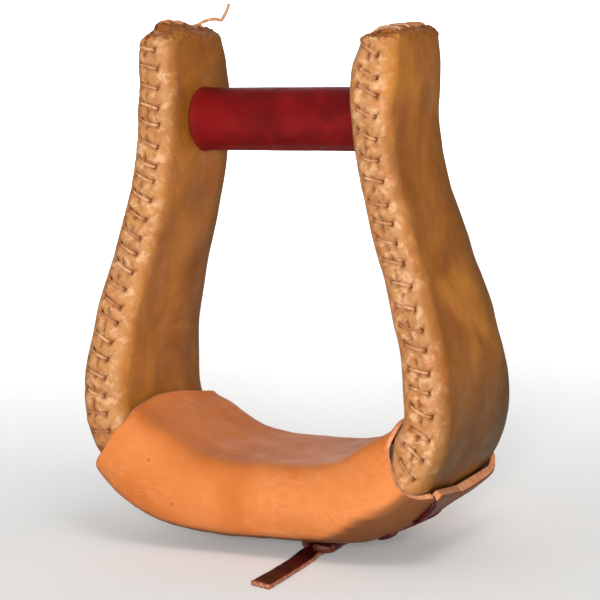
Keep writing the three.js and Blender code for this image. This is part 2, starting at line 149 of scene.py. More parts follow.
def on_section(distance, place, away, pad=0.0):
    """Points at distances along the bow and places round it, away from the wood and over a pad."""
    distance, place = np.broadcast_arrays(np.asarray(distance, float), np.asarray(place, float))
    turn = (place % 1.0) * 4
    fourth = np.minimum(np.floor(turn), 3)
    turn = turn - fourth
    turn = np.where(fourth % 2 == 1, 1 - turn, turn)
    thick, wide, edge = section_at(distance)
    a, b = thick / 2, wide / 2
    angle = np.clip((turn - EDGE_SHARE) / ARC_SHARE, 0, 1) * math.pi / 2
    nn, ny = np.sin(angle), np.cos(angle)
    face_share = (turn - EDGE_SHARE - ARC_SHARE) / (1 - EDGE_SHARE - ARC_SHARE)
    n = np.where(turn < EDGE_SHARE, (a - edge) * turn / EDGE_SHARE, a - edge + edge * nn)
    y = np.where(face_share < 0, b - edge + edge * ny, (b - edge) * (1 - face_share))
    ny = np.where(face_share < 0, ny, 0.0)
    inner = fourth < 2
    n = n + away * nn + np.where(inner, pad * smooth((nn - 0.1) / 0.9), 0.0)
    y = y + away * ny
    centre, _, out = bow_at(distance)
    points = centre + out * (np.where(inner, -n, n))[..., None]
    points[..., 1] += np.where((fourth == 0) | (fourth == 3), -y, y)
    return points


def lumps(points, size, seed, octaves=2):
    """Smooth random waves over points, about -1 to 1, with bumps of roughly that size."""
    random = np.random.default_rng(seed)
    total = np.zeros(points.shape[:-1])
    for octave in range(octaves):
        for _ in range(6):
            direction = random.normal(size=3)
            direction /= np.linalg.norm(direction)
            wave = 2 * math.pi / (size / 2**octave) * random.uniform(0.7, 1.3)
            total += np.sin(points @ direction * wave + random.uniform(0, 6.28)) / 2**octave
    return total / 6 * 1.2


# ---- meshes
def linked(name, data):
    thing = bpy.data.objects.new(name, data)
    bpy.context.scene.collection.objects.link(thing)
    return thing


def make_object(name, points, faces, material, values=None):
    mesh = bpy.data.meshes.new(name)
    mesh.from_pydata((np.asarray(points) * MM).tolist(), [], faces)
    mesh.validate()
    for key, value in (values or {}).items():
        attribute = mesh.attributes.new(key, "FLOAT", "POINT")
        attribute.data.foreach_set("value", np.asarray(value, np.float32).ravel())
    mesh.polygons.foreach_set("use_smooth", [True] * len(mesh.polygons))
    mesh.materials.append(material)
    return linked(name, mesh)


def grid_faces(rows, columns, start=0, closed=False, flip=False):
    faces = []
    for i in range(rows - 1):
        for j in range(columns if closed else columns - 1):
            k = (j + 1) % columns
            a, b = start + i * columns + j, start + i * columns + k
            face = (a, b, b + columns, a + columns)
            faces.append(face[::-1] if flip else face)
    return faces


def bridge_faces(row, columns):
    """Faces from the closed ring that starts at row back to the first ring."""
    following = [(j + 1) % columns for j in range(columns)]
    return [(row + j, row + k, k, j) for j, k in enumerate(following)]


def unit(v):
    return v / np.maximum(np.linalg.norm(v, axis=-1, keepdims=True), 1e-9)


def tube_normals(grid):
    """Unit normals of a closed tube's grid of points, all inward or all outward."""
    down = np.gradient(grid, axis=0)
    across = (np.roll(grid, -1, axis=1) - np.roll(grid, 1, axis=1)) / 2
    return unit(np.cross(across, down))


def oval_section(wide, thick, sides):
    angle = (np.arange(sides) + 0.5) / sides * 2 * math.pi
    return np.stack([np.cos(angle) * wide / 2, np.sin(angle) * thick / 2], -1)


def strap_section(wide, thick, bevel=0.45):
    """Section of a flat strap and, for each of its points, how much it belongs to the cut edge."""
    x, y = wide / 2, thick / 2
    half = [(x, -y + bevel, 1), (x + 0.1, 0, 1), (x, y - bevel, 1), (x - bevel * 0.5, y - bevel * 0.2, 0.3),
            (x - bevel * 1.6, y, 0), (x * 0.45, y + 0.08, 0), (0, y + 0.1, 0), (-x * 0.45, y + 0.08, 0),
            (bevel * 1.6 - x, y, 0), (bevel * 0.5 - x, y - bevel * 0.2, 0.3)]
    rows = half + [(-px, -py, e) for px, py, e in half]
    return np.array([(px, py) for px, py, _ in rows]), np.array([e for *_, e in rows])


def swept(points, section, ups, scale=None):
    """Rings of a section carried along points, with the section's y along ups."""
    along = unit(np.gradient(points, axis=0))
    ups = np.broadcast_to(ups, points.shape)
    side = unit(np.cross(ups, along))
    up = np.cross(along, side)
    scale = np.ones(len(points)) if scale is None else scale
    x = section[None, :, 0] * scale[:, None]
    y = section[None, :, 1] * scale[:, None]
    return points[:, None] + side[:, None] * x[..., None] + up[:, None] * y[..., None]


def swept_body(rings):
    """Points and faces of a solid made of rings, with flat ends."""
    rows, columns = rings.shape[:2]
    faces = grid_faces(rows, columns, closed=True)
    last = (rows - 1) * columns
    faces.append(tuple(reversed(range(columns))))
    faces.append(tuple(last + j for j in range(columns)))
    return rings.reshape(-1, 3), faces


def joined(bodies):
    """Several bodies as one list of points and faces; each body is (points, faces)."""
    points, faces, start = [], [], 0
    for body_points, body_faces in bodies:
        points.append(body_points)
        faces += [tuple(start + i for i in face) for face in body_faces]
        start += len(body_points)
    return np.concatenate(points), faces


def dive(t, reach):
    """How far a strand has gone into its holes: about 1 at both ends, 0 between them."""
    return np.exp(-t / reach) + np.exp(-(1 - t) / reach)


def smooth_route(points, count):
    """A Catmull-Rom curve through points, evenly spaced."""
    p = np.asarray(points, float)
    p = np.concatenate([[2 * p[0] - p[1]], p, [2 * p[-1] - p[-2]]])
    t = np.linspace(0, len(p) - 3, 40 * (len(p) - 3) + 1)
    k = np.minimum(t.astype(int), len(p) - 4)
    f = (t - k)[:, None]
    a, b, c, d = p[k], p[k + 1], p[k + 2], p[k + 3]
    line = 0.5 * (2 * b + (c - a) * f + (2 * a - 5 * b + 4 * c - d) * f**2 + (3 * b - a - 3 * c + d) * f**3)
    at = np.concatenate([[0], np.cumsum(np.linalg.norm(np.diff(line, axis=0), axis=1))])
    want = np.linspace(0, at[-1], count)
    return np.stack([np.interp(want, at, line[:, i]) for i in range(3)], -1)


# ---- materials
def srgb(text):
    value = [int(text[i : i + 2], 16) / 255 for i in (0, 2, 4)]
    return tuple(c / 12.92 if c <= 0.04045 else ((c + 0.055) / 1.055) ** 2.4 for c in value) + (1,)


class Nodes:
    """A material's node tree, with short helpers for its procedural textures."""

    def __init__(self, name, roughness, specular=0.5, metallic=0.0, sheen=0.0):
        self.material = bpy.data.materials.new(name)
        self.material.use_nodes = True
        self.tree = self.material.node_tree
        self.shader = self.tree.nodes["Principled BSDF"]
        keys = ("Roughness", "Specular IOR Level", "Metallic", "Sheen Weight")
        for key, number in zip(keys, (roughness, specular, metallic, sheen)):
            self.shader.inputs[key].default_value = number
        self.place = self.new("ShaderNodeTexCoord").outputs["Object"]

    def new(self, kind, **settings):
        node = self.tree.nodes.new(kind)
        for key, value in settings.items():
            setattr(node, key, value)
        return node

    def link(self, source, target):
        self.tree.links.new(source, target)

    def stretch(self, x, y, z):
        node = self.new("ShaderNodeMapping")
        node.inputs["Scale"].default_value = (x, y, z)
        self.link(self.place, node.inputs["Vector"])
        return node.outputs[0]

    def noise(self, size_mm, detail=4, rough=0.6, distort=0.0, place=None):
        node = self.new("ShaderNodeTexNoise")
        keys = ("Scale", "Detail", "Roughness", "Distortion")
        for key, number in zip(keys, (1000 / size_mm, detail, rough, distort)):
            node.inputs[key].default_value = number
        self.link(place or self.place, node.inputs["Vector"])
        return node.outputs["Fac"]

    def cells(self, size_mm, feature="F1", place=None):
        node = self.new("ShaderNodeTexVoronoi", feature=feature)
        node.inputs["Scale"].default_value = 1000 / size_mm
        self.link(place or self.place, node.inputs["Vector"])
        return node.outputs["Distance"]

    def value(self, name):
        return self.new("ShaderNodeAttribute", attribute_name=name).outputs["Fac"]

    def ramp(self, source, low, high, out_low=0.0, out_high=1.0):
        node = self.new("ShaderNodeMapRange", interpolation_type="SMOOTHSTEP")
        for key, number in zip(("From Min", "From Max", "To Min", "To Max"), (low, high, out_low, out_high)):
            node.inputs[key].default_value = number
        self.link(source, node.inputs["Value"])
        return node.outputs[0]

    def math(self, operation, a, b):
        node = self.new("ShaderNodeMath", operation=operation)
        for socket, item in zip(node.inputs, (a, b)):
            if isinstance(item, (int, float)):
                socket.default_value = item
            else:
                self.link(item, socket)
        return node.outputs[0]

    def times(self, a, b):
        return self.math("MULTIPLY", a, b)

    def mix(self, share, a, b):
        node = self.new("ShaderNodeMix", data_type="RGBA")
        for socket, item in ((node.inputs[0], share), (node.inputs[6], a), (node.inputs[7], b)):
            if isinstance(item, str):
                socket.default_value = srgb(item)
            elif isinstance(item, (int, float)):
                socket.default_value = item
            else:
                self.link(item, socket)
        return node.outputs[2]

    def over(self, share, color):
        """Lays a colour over the base colour so far."""
        self.base = self.mix(share, self.base, color)

    def bump(self, heights):
        """Stacks bumps: each is (height, how strong, how deep in millimetres)."""
        normal = None
        for height, strength, depth in heights:
            node = self.new("ShaderNodeBump")
            node.inputs["Strength"].default_value = strength
            node.inputs["Distance"].default_value = depth * MM
            self.link(height, node.inputs["Height"])
            if normal is not None:
                self.link(normal, node.inputs["Normal"])
            normal = node.outputs[0]
        self.link(normal, self.shader.inputs["Normal"])

    def color(self, source):
        self.link(source, self.shader.inputs["Base Color"])

    def rough(self, source):
        self.link(source, self.shader.inputs["Roughness"])


def side_leather():
    n = Nodes("side_leather", 0.5, specular=0.08)
    cloud = n.ramp(n.noise(34, 3, 0.55, 0.6), 0.34, 0.68)
    fine = n.ramp(n.noise(9, 4, 0.6, 0.3), 0.3, 0.72)
    blotch = n.ramp(n.noise(26, 4, 0.6, 1.0, n.stretch(1.2, 1.2, 0.7)), 0.42, 0.7)
    n.base = n.mix(cloud, "8a5019", "b5732a")
    n.over(n.times(fine, 0.35), "a9632a")
    n.over(n.times(blotch, 0.45), "7a4518")
    # Darker towards the back edges, and as painted shade on the outer face's lower part, where it turns down.
    n.over(n.times(n.value("back"), 0.6), "523a1a")
    n.over(n.times(n.value("front"), 0.62), "bd8c5e")
    # Painted highlights: pale patches over the front strip.
    painted_highlights = n.times(n.ramp(n.noise(4.5, 4, 0.6, 0.5), 0.48, 0.64, 0, 0.6), n.value("front"))
    n.over(painted_highlights, "dcae82")
    flushed = n.times(n.ramp(n.noise(6, 4, 0.65, 0.8), 0.5, 0.68, 0, 0.6), n.value("front"))
    n.over(flushed, "a86038")
    red = n.ramp(n.noise(16, 2, 0.5), 0.58, 0.76, 0, 0.45)
    n.over(red, "9c4e22")
    speck = n.ramp(n.cells(9), 0.04, 0.09, 0.35, 0)
    n.over(speck, "5f3a1a")
    # Painted shade: darker in the holes, the seam, beside the strands, in creases and in folds.
    n.over(n.times(n.value("painted_shade"), 0.9), "6e3318")
    n.color(n.base)
    n.rough(n.ramp(n.noise(12), 0.3, 0.7, 0.42, 0.6))
    n.bump([(n.noise(5), 0.35, 0.35), (n.cells(0.9, "SMOOTH_F1"), 0.22, 0.12), (n.noise(1.2), 0.25, 0.1)])
    return n.material


def tread_leather():
    n = Nodes("tread_leather", 0.55, specular=0.06)
    cloud = n.ramp(n.noise(42, 3, 0.5, 0.5), 0.32, 0.7)
    fine = n.ramp(n.noise(8, 5, 0.6, 0.4), 0.35, 0.7)
    n.base = n.mix(cloud, "be6a31", "d28048")
    n.over(n.times(fine, 0.3), "c2682a")
    pale = n.ramp(n.noise(14, 5, 0.65, 1.2), 0.56, 0.72, 0, 0.4)
    n.over(n.times(pale, 0.5), "e79b60")
    lines = n.noise(22, 6, 0.7, 3.5, n.stretch(0.6, 1, 1.8))
    scratch = n.math("SUBTRACT", n.ramp(lines, 0.485, 0.5), n.ramp(lines, 0.5, 0.515))
    where = n.ramp(n.noise(30, 2, 0.5), 0.5, 0.62)
    n.over(n.times(n.times(scratch, where), 0.22), "f0b080")
    speck = n.ramp(n.cells(13), 0.035, 0.07, 0.6, 0)
    n.over(speck, "93471f")
    edge = n.value("edge")
    cut = n.mix(n.ramp(n.noise(2.2), 0.35, 0.7), "c07c56", "dca482")
    n.over(edge, cut)
    # Darkens the inner face, and as painted shade the underside up to where it turns to the front.
    n.over(n.times(n.value("under"), 0.85), "4a2f1e")
    n.color(n.base)
    n.rough(n.math("ADD", n.ramp(n.noise(10), 0.3, 0.7, 0.44, 0.58), n.times(edge, 0.3)))
    n.bump([(n.noise(6), 0.22, 0.3), (n.cells(0.8, "SMOOTH_F1"), 0.15, 0.1), (n.noise(1.0, 3), 0.15, 0.08)])
    return n.material


def latigo():
    n = Nodes("latigo", 0.5, specular=0.12)
    n.base = n.mix(n.ramp(n.noise(7, 4, 0.6, 0.4), 0.35, 0.68), "2e0909", "4c1110")
    n.over(n.ramp(n.noise(3), 0.62, 0.78, 0, 0.35), "7c2c22")
    edge = n.value("edge")
    n.over(edge, n.mix(n.ramp(n.noise(1.6, 3, 0.5), 0.35, 0.7), "8f4a34", "c08264"))
    n.color(n.base)
    n.rough(n.ramp(n.noise(5), 0.3, 0.7, 0.32, 0.5))
    n.bump([(n.noise(3), 0.3, 0.25), (n.cells(0.7, "SMOOTH_F1"), 0.25, 0.1)])
    return n.material


def roller_leather():
    n = Nodes("roller_leather", 0.45, specular=0.12)
    n.base = n.mix(n.ramp(n.noise(14, 4, 0.55, 0.5), 0.32, 0.7), "5c0607", "760c0d")
    n.over(n.ramp(n.noise(20, 4, 0.6, 0.6, n.stretch(0.25, 1, 1)), 0.56, 0.75, 0, 0.4), "4f0b0d")
    # Painted highlight: lighter red near the sleeve's ends.
    n.over(n.times(n.value("end_highlight"), 0.25), "8a2a1c")
    n.over(n.value("edge"), "5a2418")
    n.color(n.base)
    n.rough(n.ramp(n.noise(6), 0.3, 0.7, 0.42, 0.56))
    n.bump([(n.noise(5, 3), 0.15, 0.2), (n.cells(0.8, "SMOOTH_F1"), 0.2, 0.08)])
    return n.material


def lace_leather():
    n = Nodes("lace", 0.6, specular=0.2)
    n.base = n.mix(n.ramp(n.noise(4), 0.35, 0.7), "a9744a", "d6a47a")
    n.over(n.ramp(n.noise(16, 2, 0.5), 0.46, 0.62, 0, 0.7), "9a5a34")
    n.color(n.base)
    n.bump([(n.noise(0.8, 4, 0.7), 0.5, 0.2)])
    return n.material


def wool_felt():
    n = Nodes("pad_felt", 0.95, specular=0.15, sheen=0.4)
    # Dark brown-grey felt: painted shade where it shows in the gap between the tread cover's flaps.
    n.color(n.mix(n.noise(2.5, 5, 0.7), "6a563e", "8c755a"))
    n.bump([(n.noise(0.9, 5, 0.75, 1.5), 0.6, 0.4)])
    return n.material


def hardwood():
    n = Nodes("hardwood", 0.62, specular=0.35)
    rings = n.noise(9, 5, 0.65, 1.0, n.stretch(1, 0.35, 0.12))
    n.base = n.mix(n.ramp(rings, 0.35, 0.68), "8a5f36", "c39a68")
    n.over(n.ramp(n.noise(1.2, 4, 0.6, 0.2, n.stretch(1, 1, 0.06)), 0.58, 0.72, 0, 0.5), "6e4826")
    n.color(n.base)
    n.bump([(rings, 0.2, 0.2)])
    return n.material


def plain_steel():
    n = Nodes("steel", 0.34, metallic=1.0)
    n.color(n.mix(n.ramp(n.noise(6), 0.35, 0.7), "8d8f92", "b4b6b9"))
    n.rough(n.ramp(n.noise(2, 5, 0.7), 0.3, 0.7, 0.28, 0.46))
    n.bump([(n.noise(1.2, 4, 0.6, 0, n.stretch(8, 1, 1)), 0.12, 0.05)])
    return n.material


def floor_material():
    """Pale, and brighter behind the stirrup, where it meets the backdrop."""
    n = Nodes("floor", 0.9, specular=0.1)
    n.color(n.mix(n.noise(300, 2, 0.5), "e6e5e3", "ebeae8"))
    turn = n.new("ShaderNodeMapping")
    turn.inputs["Rotation"].default_value = (0, 0, math.radians(-27))
    n.link(n.place, turn.inputs["Vector"])
    split = n.new("ShaderNodeSeparateXYZ")
    n.link(turn.outputs[0], split.inputs[0])
    behind = n.ramp(split.outputs["Y"], -0.1, 0.65, 0.1, 0.62)
    beside = n.ramp(n.math("ABSOLUTE", split.outputs["X"], 0), 0.3, 0.9, 1, 0)
    n.shader.inputs["Emission Color"].default_value = (1, 1, 1, 1)
    n.link(n.times(behind, beside), n.shader.inputs["Emission Strength"])
    return n.material


def backdrop():
    n = Nodes("backdrop", 0.95, specular=0.0)
    n.color(n.mix(n.noise(400, 2, 0.5), "fafafa", "ffffff"))
    n.shader.inputs["Emission Color"].default_value = (1, 1, 1, 1)
    n.shader.inputs["Emission Strength"].default_value = 0.9
    return n.material


# ---- camera, lights and floor
def place_camera():
    """Stands the camera where the picture was taken from, and turns it to frame the stirrup."""
    azimuth, elevation, roll = (math.radians(d) for d in (27.07, 7.24, -1.61))
    away, middle_z = 884, 102.2
    focal = 3.824  # in picture widths, as the two shifts of the aim are
    shift_right, shift_down = 0.0125, 0.03725
    back = np.array([
        math.sin(azimuth) * math.cos(elevation),
        -math.cos(azimuth) * math.cos(elevation),
        math.sin(elevation),
    ])
    right = np.array([math.cos(azimuth), math.sin(azimuth), 0])
    up = np.cross(back, right)
    right, up = (
        math.cos(roll) * right + math.sin(roll) * up,
        math.cos(roll) * up - math.sin(roll) * right,
    )
    eye = np.array([0, 0, middle_z]) + back * away
    aim = unit(-back + right * (shift_right / focal) - up * (shift_down / focal))
    side = unit(np.cross(aim, up))
    high = np.cross(side, aim)
    camera = linked("camera", bpy.data.cameras.new("camera"))
    camera.data.sensor_width = 36
    camera.data.lens = 36 * focal
    camera.data.clip_start = 0.01
    turn = Matrix([(*row, 0) for row in np.stack([side, high, -aim], 1)] + [(0, 0, 0, 1)])
    camera.matrix_world = Matrix.Translation(Vector(eye * MM)) @ turn
    bpy.context.scene.camera = camera


def area_light(name, spot, size, power):
    light = linked(name, bpy.data.lights.new(name, "AREA"))
    light.data.shape = "DISK"
    light.data.size = size
    light.data.energy = power
    light.location = spot
    aim = Vector((0, 0, 0.09)) - light.location
    light.rotation_euler = aim.to_track_quat("-Z", "Y").to_euler()


def studio():
    world = bpy.data.worlds.new("studio")
    world.use_nodes = True
    background = world.node_tree.nodes["Background"]
    background.inputs["Color"].default_value = (1, 1, 1, 1)
    background.inputs["Strength"].default_value = 0.36
    bpy.context.scene.world = world
    bpy.context.scene.view_settings.view_transform = "Standard"
    area_light("key", (0.46, -1.1, 0.28), 0.26, 13.5)
    area_light("fill", (0.5, -0.5, 1.3), 0.6, 4)
    far = 4.0
    left, right, high = (-1.6, 1.0), (0.1, 1.87), 1.2
    staged = {
        "floor": ([(-far, -far, 0), (far, -far, 0), (far, far, 0), (-far, far, 0)], floor_material()),
        "backdrop": ([(*left, 0.001), (*right, 0.001), (*right, high), (*left, high)], backdrop()),
    }
    for name, (corners, material) in staged.items():
        mesh = bpy.data.meshes.new(name)
        mesh.from_pydata(corners, [], [(0, 1, 2, 3)])
        mesh.materials.append(material)
        plane = linked(name, mesh)


place_camera()
studio()

# ---- the thong's free end
LATIGO = latigo()
TAIL = [(18.0, -20.5), (18.1, -26.4), (18.7, -35), (19.6, -46), (20.4, -58), (21.1, -73.6)]


def thong_tail():
    """The free end, lying on the ground in front of the knot, cut a little askew at its tip."""
    route = smooth_route([(x, y, THONG_THICK / 2) for x, y in TAIL], 60)
    t = np.linspace(0, 1, len(route))
    section, edge = strap_section(THONG_WIDE, THONG_THICK)
    scale = 0.9 + 0.1 * smooth(t * 4) + 0.08 * smooth((t - 0.6) / 0.4)
    lifted = route.copy()
    lifted[:, 2] += 0.5 * bell(t - 0.12, 0.1)
    rings = swept(lifted, section, UP, scale)
    rings[..., 2] = rings[..., 2] * (1 - 0.3 * smooth(t * 3))[:, None] + 0.12 * lumps(rings, 9, 3)
    rings[..., 2] = np.maximum(rings[..., 2], 0.02)
    tip = 7  # rings that the askew cut moves
    askew = (rings[-tip:, :, 0] - route[-1, 0]) * 0.42
    rings[-tip:, :, 1] -= askew * np.linspace(0.1, 1, tip)[:, None]
    points, faces = swept_body(rings)
    edges = np.tile(edge, (len(rings), 1))
    edges[0] = edges[-1] = 1
    piece = make_object("latigo_tail", points, faces, LATIGO, {"edge": edges})
    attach(piece, "stirrup")
    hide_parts("thong_tail")


thong_tail()


# ---- side covers
# Over the front strip, u runs across the seam towards +X and s runs along the bow.
LACE_FROM = 60.0  # about where the lowest stitch is
LACE_PITCH = {-1: 7.1, 1: 7.9}
LACE_SLANT = {-1: 2.5, 1: 3.9}  # how much further along the bow a stitch is at its left hole
LACE_REACH = {-1: 4.2, 1: 3.8}  # how far the holes are from the seam
LAST_STITCH = {-1: 3.5, 1: 5.0}  # how far the topmost stitch is under the closing of the top
SEAM_SHIFT = {-1: 1.6, 1: 1.2}  # the seam lies left of the front edge's middle
CAP_FROM = BOW_LENGTH - 1.0  # the leather starts to close over the arm's top
CAP_POWER = {-1: 1.3, 1: 0.7}  # the left top is nearly a ridge, the right one is flatter
SHOULDER_Z = float(bow_at(CAP_FROM)[0][2])


def crest_height(hand, y):
    """Height of the closed top's crest over the shoulder, from front to back."""
    if hand < 0:
        z = 200.8 - 2.4 * smooth((y - 1) / 8) - 2.4 * smooth((-14 - y) / 6) + 0.2 * smooth((y - 14) / 6)
    else:
        z = 196.6 + 1.3 * smooth((y + 14) / 24) - 0.8 * smooth((-17 - y) / 4)
    return z - SHOULDER_Z + 0.35 * np.sin(y * 1.45 + hand) + 0.25 * np.sin(y * 0.8 + 2)


def cover_places():
    """Places round the section, closest together at the laced front edge."""
    front = np.concatenate([
        np.linspace(0, EDGE_SHARE, 9)[:-1],
        np.linspace(EDGE_SHARE, EDGE_SHARE + ARC_SHARE, 23)[:-1],
        np.linspace(EDGE_SHARE + ARC_SHARE, 1, 17),
    ])
    back = np.concatenate([
        np.linspace(1, 0.4, 13)[:-1],
        np.linspace(0.4, 0.1, 9)[:-1],
        np.linspace(0.1, 0, 3),
    ])
    half = np.concatenate([front / 4, (2 - back[1:]) / 4])
    return np.concatenate([half, 1 - half[-2:0:-1]])


def from_seam(grid):
    """Distance round each row of a closed grid from its first point, negative past halfway."""
    ahead = np.linalg.norm(np.roll(grid, -1, axis=1) - grid, axis=-1)
    at = np.concatenate([np.zeros((len(grid), 1)), np.cumsum(ahead, axis=1)], axis=1)
    girth = at[:, -1:]
    at = at[:, :-1]
    return np.where(at > girth / 2, at - girth, at)


def cap_rows(hand, ring):
    """Rings that close the leather over the arm's top, from a ring round its shoulder."""
    centre, along, out = bow_at(hand * CAP_FROM)
    up = along * hand
    n, y = (ring - centre) @ out, ring[:, 1]
    reach = np.abs(y).max()
    rows = []
    for angle in np.radians(np.linspace(0, 90, 15)[1:]):
        corner = (np.abs(y) / reach) ** 8
        rise = crest_height(hand, y) - 1.6 * corner
        pull = 1 - 0.08 * corner * (1 - math.cos(angle))
        power = CAP_POWER[hand]
        row = centre + up * (rise * math.sin(angle) ** power)[:, None]
        row = row + out * (n * (0.04 + 0.96 * math.cos(angle) ** power))[:, None]
        row[:, 1] = y * pull
        rows.append(row)
    sunk = rows[-1] - up * 1.3
    return np.array(rows + [sunk])


def seam_shift(hand, s):
    """How far the seam lies left of the front edge's middle; low on the left arm it wanders further."""
    return SEAM_SHIFT[hand] + (1.7 * (1 - smooth((s - 70) / 70)) if hand < 0 else 0)


def stitches(hand):
    """The front stitches: for each, u and s of its right hole and of its left hole."""
    random = np.random.default_rng(7 + hand)
    count = int((CAP_FROM + 2.5 - LACE_FROM) / LACE_PITCH[hand])
    result = []
    for k in range(count):
        s = CAP_FROM - LAST_STITCH[hand] - k * LACE_PITCH[hand] + random.normal(0, 0.45)
        slant = LACE_SLANT[hand] * random.uniform(0.75, 1.2)
        right = LACE_REACH[hand] + random.normal(0, 0.35)
        left = -LACE_REACH[hand] + random.normal(0, 0.35)
        result.append(((right, s), (left, s + slant)))
    return result


def from_segment(u, s, start, end):
    """Distance of points from a straight line between two places of the front strip."""
    across = np.array([end[0] - start[0], end[1] - start[1]])
    share = ((u - start[0]) * across[0] + (s - start[1]) * across[1]) / (across @ across)
    share = np.clip(share, 0, 1)
    return np.hypot(u - start[0] - share * across[0], s - start[1] - share * across[1])


def edge_shift(hand, u, s):
    """How far the leather stands out or in beside the front strip: the arms' edges are not quite true."""
    beside = smooth((-u - 1) / 5) * (1 - smooth((-u - 14) / 10))
    if hand < 0:
        return -1.5 * beside * smooth((s - 200) / 14)
    bulge = 0.9 * bell(s - CAP_FROM + 21, 9) + 2.3 * bell(s - 76, 8)
    return beside * (bulge - 2.0 * smooth((s - CAP_FROM + 13) / 12))


def cover_relief(hand, points, u, s):
    """Outward relief of the side leather, and its painted shade: in holes, the seam, grooves, creases and
    folds, towards one side of the strip, and darker towards and over the top.
    """
    strip = 1 - smooth((np.abs(u) - LACE_REACH[hand] + 0.4) / 3.4)
    hole = np.zeros_like(u)
    beside = np.full_like(u, 9.0)
    tuck = np.full_like(u, 9.0)
    for right, left in stitches(hand):
        beside = np.minimum(beside, from_segment(u, s, right, left))
        tuck = np.minimum(tuck, from_segment(u, s, right, (right[0] + 1.9, right[1] + 1.7)))
        for hole_u, hole_s in (right, left):
            hole = np.maximum(hole, bell(np.hypot(u - hole_u, s - hole_s), 0.85))
    puff = smooth(beside / (LACE_PITCH[hand] * 0.42))
    groove = bell(beside, 0.9)
    tuck = bell(tuck, 0.55)
    rough = lumps(points, 3.0, 11 + hand, 3)
    wander = 0.6 * lumps(points, 9, 5 + hand)
    broken = np.clip(0.35 + 1.3 * lumps(points, 4, 15 + hand, 3), 0, 1)
    seam = bell(u - wander, 0.8) * broken
    relief = strip * (0.8 * puff - 0.35 + 0.3 * rough) - 0.45 * groove - 1.5 * hole - 0.9 * seam - 0.5 * tuck
    crease = np.clip(-rough - 0.1, 0, 1) * strip
    # Painted shade in the holes, the seam, the grooves beside the strands, creases and tucks.
    painted_shade = np.clip(0.9 * hole + 0.75 * seam + 0.2 * groove + 0.45 * crease + 0.5 * tuck, 0, 1)
    # Painted shade: the strip gets darker towards its side at -X, where it turns away from the light.
    falloff_shade = 0.45 + 0.25 * lumps(points, 6, 55 + hand)
    painted_shade = np.clip(painted_shade + falloff_shade * strip * smooth((-u - 2) / 4), 0, 1)
    # The leather is gathered where it closes over the top; it is darker towards and over the top, with
    # painted shade in the gathers' folds.
    over = s - CAP_FROM
    near_top = smooth((over + 3) / 6)
    painted_shade = np.clip(painted_shade + 0.4 * smooth((over - 1) / 6) + 0.12 * smooth((over + 20) / 20), 0, 1)
    y = points[..., 1]
    pleat = np.cos(2 * math.pi * (y / 2.7 + 0.5 * lumps(points, 9, 21 + hand)))
    face = smooth((np.abs(u) - 5) / 4)
    gather = lumps(points, 2.4, 25 + hand, 3)
    relief += near_top * (face * 0.12 * pleat + 0.5 * gather)
    gathered = face * 0.12 * np.clip(-pleat, 0, 1) + 0.9 * np.clip(-gather, 0, 1)
    painted_shade = np.clip(painted_shade + near_top * gathered, 0, 1)
    relief += edge_shift(hand, u, s)
    reach = np.abs(y).max(axis=-1, keepdims=True)
    rear = smooth((y / reach - 0.8) / 0.2)
    relief += rear * (1.5 if hand < 0 else 0.8) * bell(over + 20, 9)
    broad = 0.28 * lumps(points, 38, 31 + hand) + 0.1 * lumps(points, 13, 33 + hand)
    return relief + broad, painted_shade


